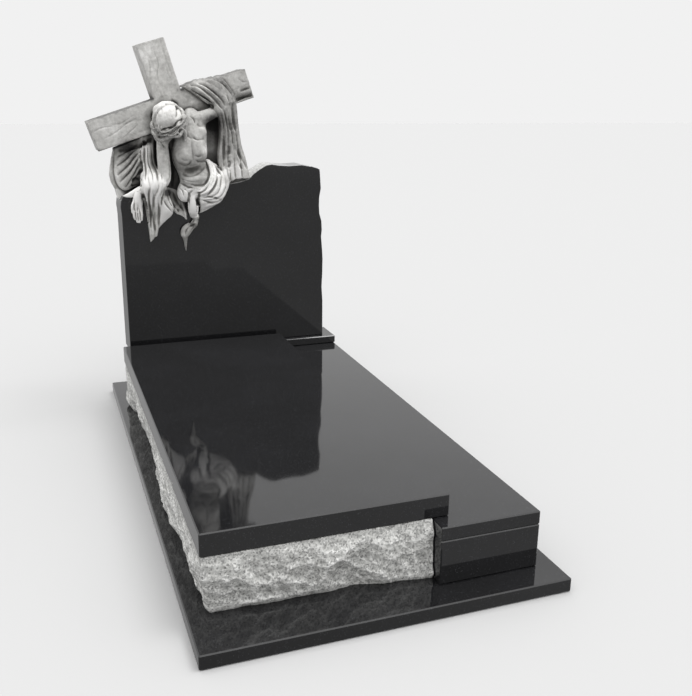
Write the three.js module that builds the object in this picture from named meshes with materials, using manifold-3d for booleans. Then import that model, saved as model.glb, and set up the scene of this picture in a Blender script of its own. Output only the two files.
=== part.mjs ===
// Single grave monument: a black granite headstone with a carved crucifix group in pale stone
// on its broken corner, standing at the head of a two-level ledger on rough and polished kerbs.
// Every coordinate is in millimetres from the base slab's front left corner on the ground:
// x runs right, y runs back towards the headstone, z runs up. The last group moves the origin
// to the middle of the base slab's underside.
import * as THREE from "three";
import { mergeVertices } from "three/addons/utils/BufferGeometryUtils.js";
import Module from "manifold-3d";

const wasm = await Module();
wasm.setup();

// Driving dimensions
const base = { width: 1000, length: 2000, thickness: 40 };
const seam = 0.3;
const polishedEdge = 3;
const kerbTop = 207;
const kerb = { left: 35, right: 943, front: 85, back: 1905, boxTop: 167, width: 105 };
const boxKerb = { left: 650 };
const mainLedger = { left: 35, right: 696, front: 140, back: 1755, top: 271 };
const plinth = { left: 66, right: 946, front: 1755, back: 1905, top: 239 };
const stele = { left: 66, front: 1787, back: 1905, sideFlare: 6, edge: 2 };
const backing = { front: 1794, back: 1872, edge: 6 };
const cross = {
  x: 280, z: 1198, front: 1765, back: 1903,
  armWidth: 115, armHalfLength: 321, armTilt: 18.4,
  stemWidth: 108, stemUp: 259, stemDown: 300, stemTilt: 16.6,
};

const blackGranite = new THREE.MeshStandardMaterial({ color: 0x1b1b1e, roughness: 0.12, metalness: 0 });
const rockGranite = new THREE.MeshStandardMaterial({ color: 0xa9a8a6, roughness: 0.9, metalness: 0 });
const paleStone = new THREE.MeshStandardMaterial({ color: 0xc2c1be, roughness: 0.8, metalness: 0 });

const radians = THREE.MathUtils.degToRad;

// A closed geometry as a solid that can be joined and cut
function solid(geometry) {
  const bare = geometry.clone();
  bare.deleteAttribute("normal");
  bare.deleteAttribute("uv");
  const merged = mergeVertices(bare, 1e-4);
  return new wasm.Manifold(new wasm.Mesh({
    numProp: 3,
    vertProperties: new Float32Array(merged.attributes.position.array),
    triVerts: new Uint32Array(merged.index.array),
  }));
}

function geometryOf(manifold) {
  const result = manifold.getMesh();
  const geometry = new THREE.BufferGeometry();
  geometry.setAttribute("position", new THREE.BufferAttribute(result.vertProperties, 3));
  geometry.setIndex(new THREE.BufferAttribute(result.triVerts, 1));
  return geometry;
}

function named(name, geometry, material) {
  const mesh = new THREE.Mesh(geometry, material);
  mesh.name = name;
  return mesh;
}

// A sawn slab whose edges are all taken off by a small polished chamfer
function slab([x0, y0, z0], [x1, y1, z1]) {
  const c = polishedEdge;
  const plan = new THREE.Shape([
    [x0 + c, y0], [x1 - c, y0], [x1, y0 + c], [x1, y1 - c],
    [x1 - c, y1], [x0 + c, y1], [x0, y1 - c], [x0, y0 + c],
  ].map(([x, y]) => new THREE.Vector2(x, y)));
  const body = new THREE.ExtrudeGeometry(plan, {
    depth: z1 - z0 - 2 * c, bevelThickness: c, bevelSize: c, bevelOffset: -c, bevelSegments: 1,
  });
  return body.translate(0, 0, z0 + c);
}

// An outline in x and z, extruded along y, its edges taken off
function upright(outline, y0, y1, edge) {
  const shape = new THREE.Shape(outline.map(([x, z]) => new THREE.Vector2(x, z)));
  const body = new THREE.ExtrudeGeometry(shape, {
    depth: y1 - y0 - 2 * edge, bevelThickness: edge, bevelSize: edge, bevelOffset: -edge, bevelSegments: 1,
  });
  return body.rotateX(Math.PI / 2).translate(0, y1 - edge, 0);
}

// A closed skin over rings of equal point counts, with a point at each end
function skin(rings, start, end) {
  const count = rings[0].length;
  const points = [...rings.flat(), start, end];
  const first = points.length - 2;
  const last = points.length - 1;
  const faces = [];
  for (let ring = 0; ring + 1 < rings.length; ring++) {
    for (let side = 0; side < count; side++) {
      const a = ring * count + side;
      const b = ring * count + (side + 1) % count;
      faces.push(a, b, b + count, a, b + count, a + count);
    }
  }
  const top = (rings.length - 1) * count;
  for (let side = 0; side < count; side++) {
    faces.push(first, (side + 1) % count, side);
    faces.push(last, top + side, top + (side + 1) % count);
  }
  const geometry = new THREE.BufferGeometry();
  geometry.setAttribute("position", new THREE.Float32BufferAttribute(points.flatMap((p) => [p.x, p.y, p.z]), 3));
  geometry.setIndex(faces);
  return geometry;
}

// A limb or fold: an oval section carried along a smooth path of [x, y, z, half width, half depth]
function limb(stations, sides = 8, stepsPerStation = 2) {
  const path = new THREE.CatmullRomCurve3(stations.map(([x, y, z]) => new THREE.Vector3(x, y, z)), false, "centripetal");
  const steps = (stations.length - 1) * stepsPerStation;
  const depthwards = new THREE.Vector3(0, 1, 0);
  const rings = [];
  for (let step = 0; step <= steps; step++) {
    const place = step / steps * (stations.length - 1);
    const from = Math.min(Math.floor(place), stations.length - 2);
    const part = place - from;
    const width = THREE.MathUtils.lerp(stations[from][3], stations[from + 1][3], part);
    const depthFrom = stations[from][4] ?? stations[from][3];
    const depthTo = stations[from + 1][4] ?? stations[from + 1][3];
    const depth = THREE.MathUtils.lerp(depthFrom, depthTo, part);
    const centre = path.getPoint(step / steps);
    const along = path.getTangent(step / steps);
    const across = new THREE.Vector3().crossVectors(depthwards, along).normalize();
    const out = new THREE.Vector3().crossVectors(along, across);
    rings.push(Array.from({ length: sides }, (_, side) => {
      const angle = side / sides * 2 * Math.PI;
      return centre.clone()
        .addScaledVector(across, width * Math.cos(angle))
        .addScaledVector(out, depth * Math.sin(angle));
    }));
  }
  const head = stations[0];
  const tail = stations[stations.length - 1];
  const start = path.getPoint(0).addScaledVector(path.getTangent(0), -0.6 * head[3]);
  const end = path.getPoint(1).addScaledVector(path.getTangent(1), 0.6 * tail[3]);
  return skin(rings, start, end);
}

// A rounded lump, tilted in the plane of the headstone
function lump([x, y, z], [width, depth, height], tilt = 0, detail = 10) {
  const ball = new THREE.SphereGeometry(1, detail, Math.round(detail * 0.7)).rotateX(Math.PI / 2);
  return ball.scale(width, depth, height).rotateY(radians(tilt)).translate(x, y, z);
}

// A hanging cloth: guide lines [x, y, z] from its top to its hem, pleated between them, the pleats
// standing towards the front, and a plain back the given thickness behind
function cloth(guides, { pleats, depth, thickness, across = 4, down = 7 }) {
  const columns = (guides.length - 1) * across;
  const curves = guides.map((guide) => new THREE.CatmullRomCurve3(
    guide.map(([x, y, z]) => new THREE.Vector3(x, y, z)), false, "centripetal"));
  const front = [];
  const back = [];
  for (let row = 0; row <= down; row++) {
    const level = row / down;
    const rail = new THREE.CatmullRomCurve3(curves.map((curve) => curve.getPointAt(level)), false, "centripetal");
    for (let column = 0; column <= columns; column++) {
      const u = column / columns;
      const point = rail.getPoint(u);
      const crest = Math.abs(Math.sin(Math.PI * pleats * u)) ** 0.7;
      const fade = Math.min(1, 0.35 + level);
      front.push(point.clone().add(new THREE.Vector3(0, -depth * fade * crest, 0)));
      back.push(point.clone().add(new THREE.Vector3(0, thickness, 0)));
    }
  }
  return doubleSkin(front, back, columns + 1, down + 1);
}

// A closed slab between two grids of points, the first facing the viewer
function doubleSkin(front, back, columns, rows) {
  const points = [...front, ...back];
  const half = front.length;
  const faces = [];
  const at = (row, column) => row * columns + column;
  const quad = (a, b, c, d) => faces.push(a, b, c, a, c, d);
  for (let row = 0; row + 1 < rows; row++) {
    for (let column = 0; column + 1 < columns; column++) {
      const [a, b] = [at(row, column), at(row, column + 1)];
      const [c, d] = [at(row + 1, column + 1), at(row + 1, column)];
      quad(a, d, c, b);
      quad(half + a, half + b, half + c, half + d);
    }
  }
  for (let column = 0; column + 1 < columns; column++) {
    const [a, b] = [at(0, column), at(0, column + 1)];
    quad(a, b, half + b, half + a);
    const [c, d] = [at(rows - 1, column), at(rows - 1, column + 1)];
    quad(d, c, half + c, half + d);
  }
  for (let row = 0; row + 1 < rows; row++) {
    const [a, b] = [at(row, 0), at(row + 1, 0)];
    quad(b, a, half + a, half + b);
    const [c, d] = [at(row, columns - 1), at(row + 1, columns - 1)];
    quad(c, d, half + d, half + c);
  }
  const geometry = new THREE.BufferGeometry();
  geometry.setAttribute("position", new THREE.Float32BufferAttribute(points.flatMap((p) => [p.x, p.y, p.z]), 3));
  geometry.setIndex(faces);
  return geometry;
}

function joined(parts) {
  return parts.map(solid).reduce((whole, part) => whole.add(part));
}

// Polished slabs
function baseSlab() {
  return named("base_slab", slab([0, 0, 0], [base.width, base.length, base.thickness]), blackGranite);
}

// The back kerb is notched down where the side ledger slab lies over it
function polishedKerbs() {
  const low = base.thickness + seam;
  const high = kerb.boxTop;
  const front = slab([boxKerb.left, kerb.front, low], [kerb.right, kerb.front + kerb.width, high]);
  const side = slab([kerb.right - kerb.width, kerb.front + kerb.width + seam, low], [kerb.right, kerb.back, high]);
  const [left, right] = [kerb.left + kerb.width + seam, kerb.right - kerb.width - seam];
  const notch = boxKerb.left - seam;
  const back = upright([
    [left, low], [right, low], [right, high], [notch, high], [notch, kerbTop - seam], [left, kerbTop - seam],
  ], kerb.back - kerb.width, kerb.back, polishedEdge);
  return [
    named("polished_kerb_front", front, blackGranite),
    named("polished_kerb_side", side, blackGranite),
    named("polished_kerb_back", back, blackGranite),
  ];
}

function ledgers() {
  const side = slab(
    [boxKerb.left, kerb.front, kerb.boxTop + seam], [kerb.right, kerb.back, kerbTop - seam]);
  const main = slab(
    [mainLedger.left, mainLedger.front, kerbTop], [mainLedger.right, mainLedger.back, mainLedger.top]);
  return [named("ledger_slab_side", side, blackGranite), named("ledger_slab_main", main, blackGranite)];
}

function plinthBar() {
  const bar = slab([plinth.left, plinth.front + seam, kerbTop], [plinth.right, plinth.back, plinth.top]);
  return named("plinth_bar", bar, blackGranite);
}

// Rock-pitched kerbs: a face of broken stone, its foot following a wandering line
const frontFoot = [
  [62, 164], [98, 166], [160, 162], [236, 154], [292, 163], [371, 156],
  [429, 165], [506, 146], [564, 146], [615, 131], [644, 127],
];
const sideFoot = [
  [250, 62], [366, 63], [506, 60], [600, 48], [704, 44], [824, 55], [951, 63], [1095, 74],
  [1232, 73], [1391, 75], [1560, 74], [1590, 66], [1622, 52], [1712, 50], [1740, 70], [1775, 92], [1905, 100],
];

// Height along a broken line of [place, height] points
function along(line, place) {
  const next = Math.max(1, Math.min(line.length - 1, line.findIndex(([at]) => at >= place)));
  const [[x0, y0], [x1, y1]] = [line[next - 1], line[next]];
  return THREE.MathUtils.mapLinear(place, x0, x1, y0, y1);
}

// Pitched stone swells and breaks into flakes: a sum of uneven waves, nothing at the top arris
function flake(place, level) {
  const swell = 7 * Math.sin(place / 61 + 1.3 * Math.sin(place / 37)) + 5 * Math.sin(place / 23 + 2.1 * level);
  return Math.sin(Math.PI * level) * (9 + swell * Math.cos(1.7 * level + place / 140));
}

function frontRockKerb() {
  const rows = 5;
  const columns = 34;
  const [low, high] = [base.thickness + seam, kerbTop - seam];
  const right = boxKerb.left - seam;
  const rings = Array.from({ length: columns + 1 }, (_, column) => {
    const face = Array.from({ length: rows + 1 }, (_, row) => {
      const level = row / rows;
      const left = THREE.MathUtils.lerp(frontFoot[0][0], mainLedger.left + 2, level);
      const x = THREE.MathUtils.lerp(left, right, column / columns);
      const foot = along(frontFoot, Math.min(x, right));
      const y = THREE.MathUtils.lerp(foot, mainLedger.front + 2, level) - flake(x, level) * (column < columns);
      return new THREE.Vector3(x, y, THREE.MathUtils.lerp(low, high, level));
    });
    const back = mainLedger.front + kerb.width;
    return [...face, new THREE.Vector3(face[rows].x, back, high), new THREE.Vector3(face[0].x, back, low)];
  });
  return named("rock_kerb_front", capped(rings.reverse()), rockGranite);
}

function sideRockKerb() {
  const rows = 4;
  const columns = 52;
  const [low, high] = [base.thickness + seam, kerbTop - seam];
  const front = mainLedger.front + kerb.width + seam;
  const inner = kerb.left + kerb.width;
  const rings = Array.from({ length: columns + 1 }, (_, column) => {
    const y = THREE.MathUtils.lerp(front, kerb.back, column / columns);
    const face = Array.from({ length: rows + 1 }, (_, row) => {
      const level = row / rows;
      const x = THREE.MathUtils.lerp(along(sideFoot, y), kerb.left + 2, level) - flake(y, level);
      return new THREE.Vector3(x, y, THREE.MathUtils.lerp(low, high, level));
    });
    return [...face, new THREE.Vector3(inner, y, high), new THREE.Vector3(inner, y, low)];
  });
  return named("rock_kerb_left", capped(rings), rockGranite);
}

function middle(ring) {
  const sum = ring.reduce((total, point) => total.add(point), new THREE.Vector3());
  return sum.divideScalar(ring.length);
}

function capped(rings) {
  return skin(rings, middle(rings[0]), middle(rings[rings.length - 1]));
}

// Headstone: straight and slightly flared on the left, hewn wavy on the right, broken away under the carving
const steleOutline = [
  [66, 239], [898, 239], [898, 392], [894, 455], [897, 517], [898, 580], [896, 617], [891, 674], [894, 705],
  [892, 742], [883, 774], [881, 805], [882, 842], [889, 880], [887, 911], [884, 958], [872, 964], [844, 972],
  [806, 979], [750, 976], [706, 979], [675, 984], [653, 980], [625, 965], [600, 948], [578, 926], [540, 915],
  [480, 905], [410, 880], [330, 862], [240, 858], [150, 872], [92, 880], [74, 868], [66, 852], [63, 830],
  [65, 806], [66, 788],
];

function steleBody() {
  const block = upright(steleOutline, stele.front, stele.back, stele.edge);
  const places = block.attributes.position;
  for (let point = 0; point < places.count; point++) {
    const backwards = (places.getY(point) - stele.front) / (stele.back - stele.front);
    const flare = places.getX(point) < stele.left + 10 ? stele.sideFlare * backwards : 0;
    places.setX(point, places.getX(point) - flare);
  }
  const body = solid(block);
  const corner = new THREE.BoxGeometry(120, 90, 120)
    .rotateZ(radians(38)).rotateX(radians(-24)).rotateY(radians(38)).translate(936, stele.front - 18, 1004);
  const shoulder = new THREE.BoxGeometry(160, 60, 60)
    .rotateX(radians(34)).rotateY(radians(6)).translate(800, stele.front - 8, 1012);
  return body.subtract(solid(corner)).subtract(solid(shoulder));
}

// Carved group: a leaning cross, the figure hung on it, and the shroud that falls from both arms
function crossBeams() {
  const { x, z, front, back } = cross;
  const depth = back - front;
  const arm = new THREE.BoxGeometry(2 * cross.armHalfLength, depth, cross.armWidth)
    .rotateY(radians(-cross.armTilt)).translate(x, (front + back) / 2, z);
  const stemLength = cross.stemUp + cross.stemDown;
  const stem = new THREE.BoxGeometry(cross.stemWidth, depth - 2, stemLength)
    .translate(0, 0, (cross.stemUp - cross.stemDown) / 2)
    .rotateY(radians(-cross.stemTilt)).translate(x, (front + back) / 2, z);
  return [arm, stem];
}

function shroudBacking() {
  const outline = [
    [60, 855], [52, 893], [38, 922], [33, 950], [44, 1008], [56, 1048], [200, 1105], [300, 1130], [330, 1240],
    [420, 1280], [526, 1285], [530, 1200], [537, 1140], [548, 1060], [565, 1000], [577, 955], [582, 925],
    [500, 880], [330, 835], [200, 835], [100, 845],
  ].reverse();
  return upright(outline, backing.front, backing.back, backing.edge);
}

const leftFan = [
  [[53, 1800, 1051], [42, 1795, 1009], [31, 1790, 950], [37, 1790, 919], [51, 1792, 889], [59, 1795, 865]],
  [[102, 1800, 1071], [86, 1784, 1010], [74, 1774, 951], [75, 1778, 906], [84, 1785, 878]],
  [[154, 1798, 1089], [127, 1778, 1011], [110, 1766, 952], [104, 1774, 906], [104, 1784, 880]],
  [[173, 1795, 1095], [159, 1776, 1011], [149, 1764, 952], [144, 1772, 911], [141, 1780, 883]],
];
const forearmFall = [
  [[153, 1796, 1089], [148, 1770, 1001], [146, 1735, 945], [143, 1724, 912], [144, 1738, 876],
    [157, 1760, 803], [166, 1768, 743], [169, 1772, 684]],
  [[181, 1796, 1099], [175, 1765, 1002], [172, 1712, 947], [174, 1702, 909], [176, 1718, 868],
    [180, 1750, 795], [180, 1764, 733], [182, 1768, 703]],
  [[210, 1796, 1107], [203, 1768, 1001], [198, 1700, 948], [202, 1696, 910], [204, 1722, 858],
    [210, 1754, 794], [204, 1768, 743], [198, 1772, 720]],
];
const lowerFlare = [
  [[194, 1704, 924], [202, 1722, 868], [208, 1752, 805], [201, 1770, 740]],
  [[221, 1712, 913], [232, 1732, 857], [235, 1754, 816], [230, 1770, 778]],
  [[241, 1724, 912], [256, 1744, 867], [264, 1758, 829], [260, 1770, 800]],
];
const innerFall = [
  [[247, 1752, 899], [254, 1760, 853], [263, 1768, 820], [273, 1776, 798]],
  [[276, 1760, 893], [285, 1765, 848], [298, 1770, 810], [299, 1776, 786]],
  [[307, 1765, 882], [315, 1768, 832], [320, 1772, 797], [318, 1778, 771]],
];
const rightFall = [
  [[329, 1850, 1296], [319, 1756, 1290], [341, 1744, 1272], [386, 1735, 1237], [434, 1728, 1200],
    [451, 1735, 1167], [461, 1750, 1102], [455, 1758, 1052], [451, 1765, 1002], [459, 1770, 956]],
  [[390, 1850, 1310], [368, 1754, 1301], [401, 1740, 1268], [443, 1728, 1236], [469, 1728, 1196],
    [477, 1740, 1142], [481, 1752, 1072], [482, 1765, 1002], [485, 1772, 949]],
  [[453, 1850, 1323], [434, 1754, 1314], [460, 1740, 1280], [488, 1730, 1246], [497, 1732, 1196],
    [503, 1745, 1142], [510, 1757, 1072], [519, 1768, 1001], [528, 1776, 945]],
  [[514, 1850, 1337], [493, 1754, 1330], [513, 1745, 1290], [525, 1742, 1250], [530, 1748, 1201],
    [536, 1758, 1141], [548, 1768, 1061], [567, 1774, 1001], [582, 1780, 936]],
];

function shroud() {
  return [
    cloth(leftFan, { pleats: 6, depth: 11, thickness: 24 }),
    cloth(forearmFall, { pleats: 4, depth: 9, thickness: 22, down: 9 }),
    cloth(lowerFlare, { pleats: 2, depth: 8, thickness: 20, down: 4 }),
    cloth(innerFall, { pleats: 3, depth: 7, thickness: 16, across: 3, down: 3 }),
    cloth(rightFall, { pleats: 7, depth: 10, thickness: 26, down: 11 }),
    limb([[140, 1768, 890, 16, 9], [108, 1770, 878, 13, 8], [72, 1780, 872, 3, 4]], 6, 1),
  ];
}

function torso() {
  return [
    limb([
      [331, 1742, 1160, 44, 26], [340, 1738, 1125, 60, 40], [338, 1734, 1088, 62, 46], [335, 1738, 1040, 57, 42],
      [334, 1748, 990, 50, 36], [342, 1750, 955, 52, 40], [358, 1748, 920, 62, 44], [372, 1758, 880, 58, 36],
    ], 12, 1),
    lump([312, 1712, 1100], [26, 16, 18], 10),
    lump([368, 1712, 1106], [27, 16, 19], -14),
    limb([[318, 1728, 1130, 24, 22], [292, 1706, 1142, 22, 20]], 8, 1),
  ];
}

function arms() {
  return [
    limb([
      [356, 1740, 1160, 24], [382, 1738, 1170, 25], [436, 1740, 1195, 20], [490, 1742, 1228, 17],
      [530, 1746, 1251, 13], [556, 1750, 1266, 15, 10], [582, 1752, 1279, 9, 7],
    ], 8, 1),
    limb([
      [300, 1738, 1135, 26], [255, 1724, 1105, 22], [236, 1714, 1050, 20], [230, 1708, 1000, 21],
      [222, 1706, 950, 22], [205, 1714, 915, 22], [170, 1728, 900, 18], [140, 1742, 892, 14],
    ], 8, 1),
    limb([[138, 1744, 892, 13, 10], [127, 1750, 858, 18, 10], [124, 1756, 812, 19, 10]], 8, 1),
    ...[0, 1, 2, 3].map((finger) => {
      const x = 109 + 9.5 * finger;
      const reach = [778, 766, 765, 774][finger];
      return limb([[x, 1757, 818, 6, 7], [x + 1, 1762, (818 + reach) / 2, 5, 6], [x + 3, 1768, reach, 4, 4]], 6, 1);
    }),
  ];
}

// Loincloth: a full fold on the hip, with bands swept down across it towards the knee
function loincloth() {
  const bands = [0, 1, 2, 3].map((band) => limb([
    [400 + 15 * band, 1742 + 4 * band, 1000 - 9 * band, 7, 9],
    [417 + 15 * band, 1722 + 3 * band, 945 - 13 * band, 9, 12],
    [398 + 14 * band, 1714 + 4 * band, 892 - 12 * band, 9, 11],
    [354 + 3 * band, 1728 + 3 * band, 882 - 12 * band, 5, 8],
  ], 6, 2));
  return [
    lump([408, 1758, 890], [62, 34, 74]),
    limb([
      [478, 1775, 968, 18, 20], [474, 1768, 925, 24, 22], [462, 1764, 880, 26, 22], [434, 1766, 842, 24, 18],
      [395, 1768, 812, 20, 15], [372, 1772, 795, 9, 9],
    ], 8, 1),
    lump([312, 1744, 892], [36, 32, 44], 8),
    ...bands,
  ];
}

function legs() {
  return [
    limb([
      [337, 1742, 880, 15, 14], [341, 1746, 850, 20, 17], [344, 1753, 810, 18, 15], [347, 1762, 786, 12, 11],
      [351, 1766, 774, 11, 10], [342, 1770, 748, 11, 10], [326, 1772, 733, 8, 8],
    ], 8, 1),
    limb([[340, 1772, 756, 9, 8], [308, 1773, 734, 12, 11], [308, 1774, 712, 15, 10], [307, 1778, 692, 7, 7],
      [309, 1782, 645, 2.5, 3]], 6, 1),
  ];
}

// Bowed head: made upright about its own middle, then laid over by its own axes
function head() {
  const own = [
    lump([0, 4, 8], [39, 48, 46], 0, 12),
    lump([0, -16, -20], [29, 32, 42], 0, 10),
    limb([[0, -30, -38, 20, 17], [0, -38, -60, 14, 13], [0, -38, -80, 6, 6]], 8, 1),
    limb([[0, -44, 4, 5, 4], [0, -50, -14, 7, 7]], 6, 1),
    limb([[34, 4, 20, 12, 16], [38, 0, -20, 12, 17], [33, -2, -62, 7, 10]], 6, 1),
    limb([[-34, 4, 20, 12, 16], [-38, 0, -20, 12, 17], [-33, -2, -62, 7, 10]], 6, 1),
    new THREE.TorusGeometry(1, 0.17, 6, 18).scale(46, 54, 46).rotateX(radians(6)).translate(0, 2, 16),
  ];
  const up = new THREE.Vector3(-0.42, -0.55, 0.72).normalize();
  const facing = new THREE.Vector3(0.26, -0.82, -0.51);
  const side = new THREE.Vector3().crossVectors(facing, up).normalize();
  const back = new THREE.Vector3().crossVectors(up, side);
  const placed = new THREE.Matrix4().makeBasis(side, back, up).setPosition(247, 1685, 1161);
  return own.map((shape) => shape.applyMatrix4(placed));
}

function carving(stone) {
  const group = joined([
    ...crossBeams(), shroudBacking(), ...shroud(), ...torso(), ...arms(), ...loincloth(), ...legs(), ...head(),
  ]);
  const shifts = [[-1, -1, 1], [1, -1, 1], [-1, 1, 1], [1, 1, 1]];
  return shifts.reduce(
    (rest, [dx, dy, dz]) => rest.subtract(stone.translate([dx * seam, dy * seam, dz * seam])), group);
}

const stone = steleBody();
const monument = new THREE.Group();
monument.position.set(-base.width / 2, -base.length / 2, 0);
monument.add(
  baseSlab(), ...polishedKerbs(), frontRockKerb(), sideRockKerb(), ...ledgers(), plinthBar(),
  named("headstone_stele", geometryOf(stone.translate([0, 0, seam])), blackGranite),
  named("carved_crucifix_group", geometryOf(carving(stone).translate([0, 0, seam])), paleStone),
);

const root = new THREE.Group();
root.add(monument);
export default root;
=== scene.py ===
# Looks of a single grave monument: polished black granite slabs and headstone, rock-pitched grey
# kerbs, and a crucifix group carved in pale stone on the headstone's broken corner.
import math

import bmesh
import bpy
import numpy as np
from mathutils import Matrix, Vector
from mathutils.kdtree import KDTree


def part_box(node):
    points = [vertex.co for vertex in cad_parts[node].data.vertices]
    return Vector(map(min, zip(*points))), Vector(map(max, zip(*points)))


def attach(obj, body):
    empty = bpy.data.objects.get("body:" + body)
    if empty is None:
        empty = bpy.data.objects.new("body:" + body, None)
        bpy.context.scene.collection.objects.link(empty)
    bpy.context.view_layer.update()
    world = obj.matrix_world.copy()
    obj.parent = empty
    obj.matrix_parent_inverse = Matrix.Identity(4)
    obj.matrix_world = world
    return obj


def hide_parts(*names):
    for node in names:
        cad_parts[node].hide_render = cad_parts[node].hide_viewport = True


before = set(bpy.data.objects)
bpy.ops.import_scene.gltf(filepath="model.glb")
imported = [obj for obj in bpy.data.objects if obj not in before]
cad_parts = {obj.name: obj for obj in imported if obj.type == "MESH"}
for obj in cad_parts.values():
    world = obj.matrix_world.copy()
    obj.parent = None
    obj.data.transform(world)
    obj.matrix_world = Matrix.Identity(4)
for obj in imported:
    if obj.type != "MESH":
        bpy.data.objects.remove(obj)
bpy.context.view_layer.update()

# Lengths are worked out in millimetres from the base slab's front left corner on the ground,
# x right, y back, z up, and turned to the frame's metres when a mesh is made
corner = np.array(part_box("base_slab")[0])


def to_frame(points):
    """Millimetres from the base slab's corner to metres in the frame."""
    return corner + np.asarray(points, float) / 1000


def placed(name, data):
    """A new object holding the data, linked into the scene."""
    thing = bpy.data.objects.new(name, data)
    bpy.context.scene.collection.objects.link(thing)
    return thing


# Camera: standing left of the foot of the grave, at 1.28 m, looking back along it and down
CAMERA_PLACE = (-267.4, -1665.5, 1280.1)
CAMERA_TURN, CAMERA_DIP, CAMERA_ROLL = 20.31, 16.85, 0.70
FOCAL_LENGTH = 44.14

camera = placed("camera", bpy.data.cameras.new("camera"))
camera.data.lens = FOCAL_LENGTH
camera.data.clip_end = 50
camera.matrix_world = (
    Matrix.Translation(Vector(to_frame(CAMERA_PLACE)))
    @ Matrix.Rotation(math.radians(-CAMERA_TURN), 4, "Z")
    @ Matrix.Rotation(math.radians(90 - CAMERA_DIP), 4, "X")
    @ Matrix.Rotation(math.radians(CAMERA_ROLL), 4, "Z")
)
bpy.context.scene.camera = camera


# Materials: shared makers of nodes
def linear(hex_colour):
    """An sRGB hex colour as linear red, green, blue and alpha 1."""
    parts = [int(hex_colour[place:place + 2], 16) / 255 for place in (1, 3, 5)]
    return [c / 12.92 if c <= 0.04045 else ((c + 0.055) / 1.055) ** 2.4 for c in parts] + [1]


def add_node(tree, kind, links=(), **settings):
    """Adds a node, sets its attributes and sockets, and links its inputs: {input: source socket}."""
    node = tree.nodes.new(kind)
    for name, value in settings.items():
        if name.startswith("in_"):
            node.inputs[name[3:].replace("_", " ")].default_value = value
        else:
            setattr(node, name, value)
    for socket, source in dict(links).items():
        tree.links.new(source, node.inputs[socket])
    return node


def new_material(name):
    material = bpy.data.materials.new(name)
    material.use_nodes = True
    tree = material.node_tree
    return material, tree, tree.nodes["Principled BSDF"]


def ramp_of(tree, source, stops):
    """A colour ramp with the given (place, hex colour) stops, fed by the source socket."""
    node = add_node(tree, "ShaderNodeValToRGB", {"Fac": source})
    ramp = node.color_ramp.elements
    while len(ramp) < len(stops):
        ramp.new(0.5)
    for element, (place, colour) in zip(ramp, stops):
        element.position = place
        element.color = linear(colour)
    return node.outputs["Color"]


def noise_of(tree, place, scale, detail, roughness=0.5):
    return add_node(tree, "ShaderNodeTexNoise", {"Vector": place}, in_Scale=scale, in_Detail=detail,
                    in_Roughness=roughness).outputs["Fac"]


def range_of(tree, source, start, end, to_start=0.0, to_end=1.0):
    """The source carried from one range to another and held at its ends."""
    return add_node(tree, "ShaderNodeMapRange", {"Value": source}, in_From_Min=start, in_From_Max=end,
                    in_To_Min=to_start, in_To_Max=to_end).outputs["Result"]


def blend_of(tree, how, first, second, factor=1.0):
    """Two colours blended, as ADD or MULTIPLY."""
    node = add_node(tree, "ShaderNodeMix", {6: first, 7: second}, data_type="RGBA", blend_type=how)
    node.inputs[0].default_value = factor
    return node.outputs[2]


# Polished slabs and headstone: fine black granite (a gabbro), sawn, then ground and polished to a
# mirror. The eye gets almost no colour from it, only reflections, a few paler grains and faint clouds
# where the grain is coarser.
def polished_granite():
    material, tree, shader = new_material("polished_black_granite")
    place = add_node(tree, "ShaderNodeTexCoord").outputs["Object"]
    grains = add_node(tree, "ShaderNodeTexVoronoi", {"Vector": place}, in_Scale=420.0).outputs["Color"]
    speck = ramp_of(tree, grains, [(0.0, "#161617"), (0.80, "#1a1a1b"), (0.97, "#343537")])
    haze = ramp_of(tree, noise_of(tree, place, 3.1, 4.0, 0.6), [(0.45, "#000000"), (0.75, "#121214")])
    tree.links.new(blend_of(tree, "ADD", speck, haze, 0.6), shader.inputs["Base Color"])
    dull = range_of(tree, noise_of(tree, place, 9.0, 3.0), 0.0, 1.0, 0.03, 0.07)
    tree.links.new(dull, shader.inputs["Roughness"])
    shader.inputs["IOR"].default_value = 1.6
    return material


def dress(node, material):
    """Gives a CAD node its material in every slot."""
    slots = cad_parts[node].data.materials
    slots.clear()
    slots.append(material)


black_granite = polished_granite()
POLISHED = ["base_slab", "polished_kerb_front", "polished_kerb_side", "polished_kerb_back",
            "ledger_slab_side", "ledger_slab_main", "plinth_bar", "headstone_stele"]
for piece in POLISHED:
    dress(piece, black_granite)


# The headstone's broken top beside the carving is hewn, not polished
def bumped(tree, shader, height, strength, distance):
    bump = add_node(tree, "ShaderNodeBump", {"Height": height}, in_Strength=strength, in_Distance=distance)
    tree.links.new(bump.outputs["Normal"], shader.inputs["Normal"])


def hewn_granite():
    material, tree, shader = new_material("hewn_black_granite")
    place = add_node(tree, "ShaderNodeTexCoord").outputs["Object"]
    chips = noise_of(tree, place, 90.0, 6.0, 0.7)
    pale = ramp_of(tree, chips, [(0.35, "#8f8f8e"), (0.65, "#d2d2d0")])
    tree.links.new(pale, shader.inputs["Base Color"])
    bumped(tree, shader, chips, 0.6, 0.004)
    shader.inputs["Roughness"].default_value = 0.8
    return material


HEWN_TO_RIGHT, HEWN_ABOVE, HEWN_SLOPE = 672.0, 900.0, 0.2
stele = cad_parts["headstone_stele"]
stele.data.materials.append(hewn_granite())
for face in stele.data.polygons:
    middle = (stele.matrix_world @ face.center - Vector(corner)) * 1000
    if middle.z > HEWN_ABOVE and middle.x < HEWN_TO_RIGHT and face.normal.z > HEWN_SLOPE:
        face.material_index = 1


# Carved group: one block of pale grey stone, cut with chisel and rasp and left matt. Its forms are
# closed skins swept along paths; they are fused into one skin, softened as a rasp does, and tooled.
HEADSTONE_FRONT = 1785.0


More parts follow.
